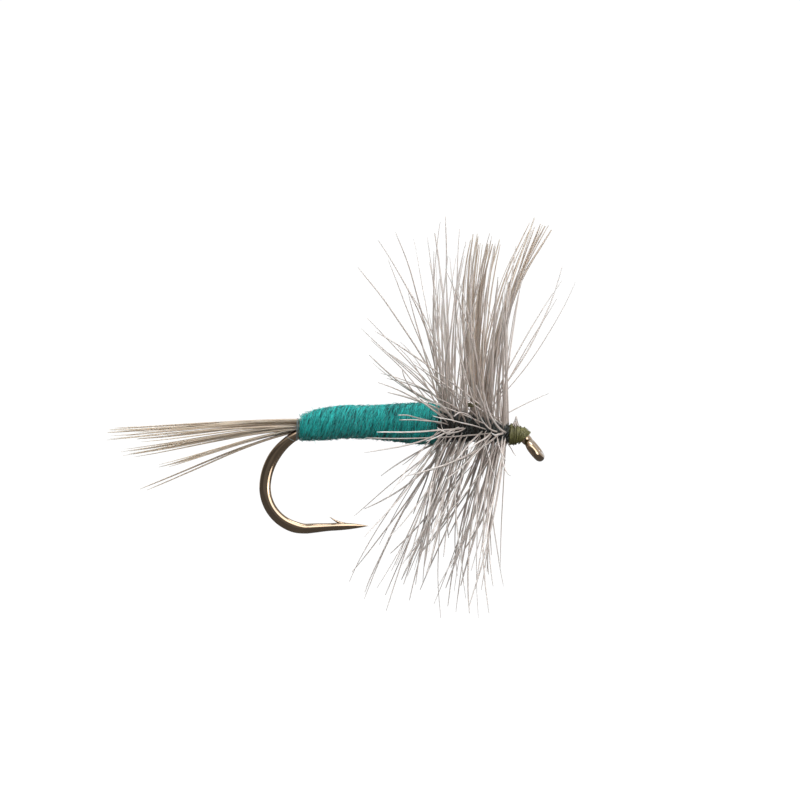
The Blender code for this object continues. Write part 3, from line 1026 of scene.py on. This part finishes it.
def makeThorax():
    mesh = woundCore("thorax_core", thoraxSet, 120, 40)
    mesh.materials.append(darkWool)
    core = plainPiece("thorax_core", mesh)
    settle(core, "dubbing", "thorax_dubbing_rear", "thorax_dubbing_front")
    strandPiece(
        "thorax_strands", mesh, "dubbing", darkWool,
        Density=1.0e8, Length=0.6 * mm, Radius=0.014 * mm, Bow=0.3, Segments=5, Seed=14,
        Lift=0.05, LiftSpread=0.12, Slant=-0.2, SlantSpread=0.5,
    )
    strandPiece(
        "thorax_fuzz", mesh, "dubbing", darkWool,
        Density=2.2e7, Length=0.40 * mm, Radius=0.007 * mm, Bow=0.3, Segments=4, Seed=19,
        Lift=0.5, LiftSpread=0.5, Slant=0.0, SlantSpread=1.0,
    )


makeBody()
makeThorax()
print("wool body and thorax are wound")


# tail

tailSet = dict(
    rootX=-11.62,
    rootLow=0.36,
    rootHigh=0.93,
    radius=0.046,
    seed=31,
    # fibres, their share of the root's height, tip x and z, how far tips differ, way out of the root
    clumps=[
        (17, (0.36, 1.0), (-21.4, -0.32), (1.8, 0.34, 2.0), 0.05),
        (11, (0.12, 0.50), (-20.6, -1.22), (1.2, 0.20, 1.5), 0.10),
        (6, (0.02, 0.24), (-18.9, -1.74), (0.9, 0.12, 1.2), 0.19),
        (2, (0.0, 0.06), (-19.6, -3.0), (0.4, 0.05, 0.4), 0.25),
    ],
)


def makeTail(s):
    rng = Random(s["seed"])
    chains = []
    for count, (low, high), (tipX, tipZ), (spreadX, spreadZ, spreadY), fallOut in s["clumps"]:
        for i in range(count):
            share = low + (high - low) * (i + 0.5) / count
            rootZ = s["rootLow"] + (s["rootHigh"] - s["rootLow"]) * share
            rootY = rng.uniform(-0.2, 0.2)
            root = Vector((s["rootX"], rootY, rootZ))
            fall = (0.5 - (i + 0.5) / count) * 2
            tip = Vector(
                (
                    tipX + spreadX * rng.uniform(-0.1, 1.0),
                    rootY * 2 + spreadY * rng.uniform(-0.5, 0.5),
                    tipZ - spreadZ * fall + rng.uniform(-0.05, 0.05),
                )
            )
            inner = root + Vector((1.4, -rootY * 0.3, 0.12))
            reach = (tip - root).length
            leave = Vector((-1, 0, -fallOut)) * reach
            arrive = ((tip - root).normalized() + Vector((0, 0, rng.uniform(-0.05, 0.03)))) * reach
            points = [inner * mm]
            points += [hermite(root, leave, tip, arrive, k / 7) * mm for k in range(8)]
            chains.append((points, rng.uniform(0.8, 1.2), rng.random()))
    piece = growFibres(
        "tail_fibres", chains, tailFeather,
        Radius=s["radius"] * mm, TipShare=0.2, Flatness=0.7, Step=0.35 * mm, Sides=6,
        Waviness=0.12 * mm, WaveScale=260.0,
    )
    settle(piece, "tail_feather", *[f"tail_fibre_{i:02d}" for i in range(1, 13)])


makeTail(tailSet)
print("tail is tied in")


# wings

wingSet = dict(radius=0.044, seed=57)

wingPaths = dict(
    # name: side, knots (x, z above the eye) up the wing's middle, width at each knot, fibres,
    # range of their thickness
    near_wing_fibres=(
        -1, [(-3.1, 1.8), (-3.25, 4.6), (-3.3, 7.7), (-3.0, 10.6)],
        (0.4, 0.95, 1.35, 1.7), 18, (0.7, 1.5),
    ),
    far_wing_fibres=(
        1, [(-2.75, 1.8), (-2.2, 5.0), (-1.32, 8.24), (-0.05, 11.75)],
        (0.35, 0.42, 0.44, 1.15), 10, (1.0, 1.9),
    ),
    far_wing_stray_fibres=(
        1, [(-2.85, 1.8), (-2.55, 5.0), (-1.9, 8.24), (-0.75, 11.4)],
        (0.3, 0.5, 0.5, 0.45), 4, (0.8, 1.2),
    ),
)


def makeWing(name, s, side, knots, widths, count, thick):
    rng = Random(s["seed"] + side + count)
    chains = []
    for i in range(count):
        across = (i + 0.5) / count - 0.5
        depth = rng.uniform(-0.5, 0.5)
        final = rng.uniform(0.78, 1.0)
        points = []
        for k, ((x, z), wide) in enumerate(zip(knots, widths)):
            share = k / (len(knots) - 1)
            y = side * (0.22 + 1.3 * share) + depth * (0.22 + 0.4 * share)
            loose = rng.uniform(-0.12, 0.12) * share
            points.append(Vector((x + across * wide + loose, y, z)))
        points[-1] = points[-2] + (points[-1] - points[-2]) * final
        butt = Vector((points[0].x - 0.6, side * 0.2 + depth * 0.1, points[0].z - 0.55))
        points.insert(0, butt)
        chains.append(([p * mm for p in points], rng.uniform(*thick), rng.random()))
    return growFibres(
        name, chains, wingFeather,
        Radius=s["radius"] * mm, TipShare=0.38, Flatness=0.6, Step=0.3 * mm, Sides=6,
        Waviness=0.3 * mm, WaveScale=240.0,
    )


for name, (side, knots, widths, count, thick) in wingPaths.items():
    wing = makeWing(name, wingSet, side, knots, widths, count, thick)
    prefix = name.split("_")[0] + "_wing_fibre"
    nodes = [] if "stray" in name else [f"{prefix}_{i}" for i in range(1, 7)]
    settle(wing, "wing_feather", *nodes)
print("wings are set")


# hackle

# gather: degrees by which barbs crowd towards straight up and straight down
hackleSet = dict(radius=0.044, length=9.1, gather=4, seed=83)

hackleRows = dict(
    # name: quill from and to (x), turns, barbs, then the lean back at the quill's two ends
    # for barbs that stand up and for barbs that hang down, degrees
    hackle_rear=((-4.85, -3.3), 5, 98, (7, 2), (19, 14)),
    hackle_front=((-2.9, -1.42), 5, 100, (4, 3), (18, 10)),
)

strayBarbs = dict(
    # quill x, angle round the shank (90 up, 180 towards the near side), lean back at the root
    # and at the tip, length, thickness, barbs side by side
    hackle_rear=[
        (-4.3, 92, 15, 37, 9.3, 1.0, 1),
        (-4.3, 86, 28, 44, 8.6, 1.0, 1),
        (-4.3, 97, 27, 23, 8.2, 0.7, 1),
        (-4.2, 90, 43, 49, 6.4, 1.0, 1),
        (-4.0, 84, 44, 61, 4.9, 0.8, 1),
        (-4.2, 96, 51, 50, 6.2, 0.7, 1),
        (-4.1, 88, 48, 84, 4.2, 0.9, 2),
        (-4.1, 93, 73, 46, 5.2, 1.1, 2),
        (-4.2, 85, 73, 50, 4.7, 0.9, 1),
        (-4.85, 94, 11, -5, 9.4, 1.1, 1),
        (-4.75, 87, 10, 0, 7.4, 0.8, 1),
        (-4.6, 92, 12, -3, 6.9, 0.9, 2),
        (-4.2, 90, 7, 3, 9.7, 1.1, 1),
        (-4.5, 94, 3, -10, 8.5, 1.0, 1),
        (-4.2, 88, 6, -9, 7.8, 0.9, 2),
        (-4.1, 140, 56, 72, 3.8, 1.1, 1),
        (-4.6, 196, 16, 64, 6.2, 1.0, 1),
        (-4.6, 152, 30, 62, 4.8, 1.1, 1),
        (-4.2, 268, 33, 64, 5.6, 1.1, 1),
        (-4.6, 272, 66, 48, 3.6, 1.0, 1),
        (-4.85, 268, 2, 4, 6.4, 1.4, 2),
        (-4.5, 266, 40, 22, 8.6, 0.9, 1),
        (-4.3, 270, 34, 16, 9.0, 1.0, 2),
        (-4.4, 274, 50, 46, 6.0, 0.8, 1),
        (-4.1, 262, 24, 12, 9.2, 1.0, 1),
        (-3.6, 184, 16, 56, 7.4, 1.2, 1),
        (-4.4, 150, 50, 4, 5.4, 1.0, 1),
        (-4.5, 118, 34, 56, 4.6, 0.9, 1),
    ],
    hackle_front=[
        (-2.6, 90, -20, -33, 7.9, 0.8, 1),
        (-3.0, 86, -42, -12, 8.8, 0.8, 1),
        (-2.8, 93, -44, -20, 8.4, 0.8, 1),
        (-2.5, 95, -26, -28, 7.0, 0.6, 1),
        (-2.2, 88, -57, -64, 3.2, 0.6, 1),
        (-1.5, 100, 3, 2, 5.8, 1.3, 3),
        (-1.6, 95, 5, -2, 7.2, 1.0, 1),
        (-2.2, 192, 50, 84, 6.8, 1.2, 1),
        (-1.45, 124, 47, 57, 8.6, 1.1, 1),
        (-1.5, 128, 52, 50, 6.2, 1.0, 1),
        (-2.8, 128, 40, 54, 4.8, 1.0, 1),
        (-2.4, 150, 50, 66, 4.6, 1.0, 1),
        (-1.9, 202, 20, 58, 7.4, 1.1, 1),
        (-1.45, 270, 1, -2, 6.3, 0.8, 1),
        (-1.7, 264, 16, 20, 7.2, 1.2, 3),
        (-2.4, 272, -5, -14, 7.4, 0.7, 1),
        (-2.6, 268, 3, -6, 8.9, 0.8, 1),
        (-2.3, 270, 12, 4, 8.8, 1.0, 2),
    ],
)


def quillPoint(x, angle):
    top, low = outlineAt(thoraxSet, x)
    high = (top + low) / 2 - 0.05
    y = high * 0.95 * math.cos(angle)
    z = shankZ / mm + (top - low) / 2 + high * math.sin(angle)
    return Vector((x, y, z))


def barbPath(x, angle, lean, tipLean, length, swing=0.0, steps=8):
    # a barb that leaves the quill at one lean and bends evenly to another; degrees
    angle, swing = math.radians(angle), math.radians(swing)
    out = Vector((0, math.cos(angle), math.sin(angle)))
    side = axisX.cross(out)
    points = [quillPoint(x, angle)]
    for k in range(steps):
        turned = math.radians(lean + (tipLean - lean) * (k + 0.5) / steps)
        swung = swing * (k + 0.5) / steps
        level = out * math.cos(swung) + side * math.sin(swung)
        step = level * math.cos(turned) - axisX * math.sin(turned)
        points.append(points[-1] + step * length / steps)
    return [p * mm for p in points]


def makeHackle(name, s, span, turns, count, above, below):
    rng = Random(s["seed"] + count)
    chains = []
    for i in range(count):
        share = (i + 0.5) / count
        x = span[0] + (span[1] - span[0]) * share + rng.uniform(-0.1, 0.1)
        angle = 360 * turns * share + rng.uniform(-8, 8)
        angle += s["gather"] * math.sin(math.radians(2 * angle))
        upper = (math.sin(math.radians(angle)) + 1) / 2
        lean = (above[0] + (above[1] - above[0]) * share) * upper
        lean += (below[0] + (below[1] - below[0]) * share) * (1 - upper)
        lean += max(-12, min(12, rng.gauss(0, 6)))
        tipLean = max(-12, lean + min(18, rng.gauss(-2 - 3 * upper, 12)))
        length = s["length"] * rng.uniform(0.74, 1.0) + 0.3 * upper
        path = barbPath(x, angle, lean, tipLean, length, rng.gauss(0, 14))
        chains.append((path, rng.uniform(0.75, 1.3), rng.random()))
    for x, angle, lean, tipLean, length, thick, twins in strayBarbs[name]:
        for k in range(twins):
            path = barbPath(x + 0.07 * k, angle - 3 * k, lean + k, tipLean + k, length - 0.3 * k)
            chains.append((path, thick * rng.uniform(0.9, 1.1), rng.random()))
    return growFibres(
        name + "_barbs", chains, hackleFeather,
        Radius=s["radius"] * mm, TipShare=0.42, Flatness=0.6, Step=0.4 * mm, Sides=6,
        Waviness=0.35 * mm, WaveScale=220.0,
    )


for name, (span, turns, count, above, below) in hackleRows.items():
    piece = makeHackle(name, hackleSet, span, turns, count, above, below)
    settle(piece, "hackle_feather", name)
print("hackle is wound")


# thread

headSet = dict(
    # distance back along the wire from the neck's bend, radius; mm
    outline=[
        (0.50, 0.40),
        (0.38, 0.53),
        (0.22, 0.55),
        (0.08, 0.45),
        (-0.04, 0.41),
        (-0.15, 0.43),
        (-0.29, 0.41),
        (-0.38, 0.34),
    ],
    turns=17,
    radius=0.036,
)


def headRadius(s, distance):
    rows = np.array(sorted(s["outline"]))
    return float(np.interp(distance, rows[:, 0], rows[:, 1]))


def makeHead(s):
    rear, front = s["outline"][0][0], s["outline"][-1][0]
    bm = bmesh.new()
    rings = []
    for i in range(31):
        distance = rear + (front - rear) * i / 30
        centre, ahead = wireFrame(distance * mm)
        up = Vector((-ahead.z, 0, ahead.x))
        radius = (headRadius(s, distance) - 0.03) * mm
        if i in (0, 30):
            radius *= 0.8
        ring = []
        for k in range(32):
            angle = math.tau * k / 32
            ring.append(bm.verts.new(centre + radius * (math.cos(angle) * up + math.sin(angle) * axisY)))
        rings.append(ring)
    loft(bm, rings)
    mesh = closeMesh("head_core", bm)
    mesh.materials.append(oliveThread)
    core = plainPiece("head_core", mesh)
    settle(core, "thread", "head_wraps_inner", "head_wraps_middle", "head_wraps_outer", "whip_finish")
    rng = Random(5)
    points = []
    steps = 18
    total = s["turns"] * steps
    for i in range(total + 1):
        t = i / total
        # the thread runs forward, back and forward again
        sweep = 1 - abs(1 - 3 * t) if t < 0.667 else (t - 0.667) * 3
        distance = rear - 0.04 + (front - rear + 0.05) * sweep
        centre, ahead = wireFrame(distance * mm)
        up = Vector((-ahead.z, 0, ahead.x))
        angle = math.tau * i / steps
        uneven = 0.028 * math.sin(9 * t * math.tau) + rng.uniform(-0.006, 0.006)
        radius = (headRadius(s, distance) - 0.02 + uneven) * mm
        skew = ahead * 0.05 * mm * math.sin(angle + 5 * t)
        points.append(centre + skew + radius * (math.cos(angle) * up + math.sin(angle) * axisY))
    piece = growFibres(
        "head_threads", [(points, 1.0, 0.5)], oliveThread,
        Radius=s["radius"] * mm, TipShare=1.0, Flatness=0.75, Step=0.04 * mm, Sides=7,
    )
    settle(piece, "thread")
    strandPiece(
        "head_fuzz", mesh, "thread", oliveThread,
        Density=9e7, Length=0.22 * mm, Radius=0.006 * mm, Bow=0.3, Segments=4, Seed=33,
        Lift=0.5, LiftSpread=0.6, Slant=0.0, SlantSpread=0.9,
    )


def coilPoints(fromX, toX, turns, section, steps=20):
    points = []
    for i in range(turns * steps + 1):
        x = fromX + (toX - fromX) * i / (turns * steps)
        height, halfHigh, halfWide = section(x)
        angle = math.tau * i / steps
        points.append(Vector((x, halfWide * math.cos(angle), height + halfHigh * math.sin(angle))) * mm)
    return points


def makeTailLashing():
    def section(x):
        back = max(0.0, hookSet["shankRear"] - x) / hookSet["bendReach"]
        wire = shankZ / mm - hookSet["bendDrop"] * (1 - math.sqrt(1 - back * back))
        bottom = wire - 0.30
        top = 0.955
        return (top + bottom) / 2, (top - bottom) / 2, 0.33

    points = coilPoints(-11.94, -11.86, 2, section)
    # a loose end lies across the wire of the bend
    loose = [(-12.46, -0.30, 0.05), (-12.30, -0.33, -0.06), (-12.05, -0.30, -0.16)]
    loose = [Vector(p) * mm for p in loose]
    piece = growFibres(
        "tail_thread_wraps", [(points, 1.0, 0.5), (loose, 0.8, 0.9)], greyThread,
        Radius=0.019 * mm, TipShare=1.0, Flatness=0.8, Step=0.05 * mm, Sides=6,
    )
    settle(piece, "grey_thread", "tail_lashing")


makeHead(headSet)
makeTailLashing()


def makeSpike():
    # barb butts left at the head, gathered to one point
    low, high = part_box("trimmed_quill_end")
    tip = Vector(((low[0] + high[0]) / 2, -0.12 * mm, high[2]))
    chains = []
    for k, lean in enumerate((-0.17, -0.08, 0.0, 0.08, 0.16)):
        root = tip + Vector((lean, 0.04 * k - 0.08, -0.62)) * mm
        short = Vector((0.2 * lean, 0, -0.16 * abs(k - 2))) * mm
        points = [root.lerp(tip + short, t / 4) for t in range(5)]
        chains.append((points, 2.0, 0.2 * k))
    # their cut ends lie over the near side of the head
    for lean, drop in ((-0.14, 0.55), (-0.03, 0.64), (0.07, 0.5)):
        over = [(0.3 * lean, 0.0, -0.3), (0.8 * lean, -0.24, -0.44), (lean, -0.42, -drop)]
        chains.append(([tip + Vector(p) * mm for p in over], 1.1, 1.6))
    piece = growFibres(
        "trimmed_quill_stub", chains, hackleFeather,
        Radius=0.045 * mm, TipShare=0.1, Flatness=0.8, Step=0.04 * mm, Sides=8,
    )
    settle(piece, "hackle_feather", "trimmed_quill_end")


makeSpike()

innerThreads = ["thread_base", "butt_lashing", "wing_lashing", "wing_dam_wraps"]
innerThreads += ["near_wing_post_wraps", "far_wing_post_wraps"]
for name in innerThreads:
    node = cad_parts[name]
    node.data.materials.clear()
    node.data.materials.append(oliveThread)
print("thread is finished off")
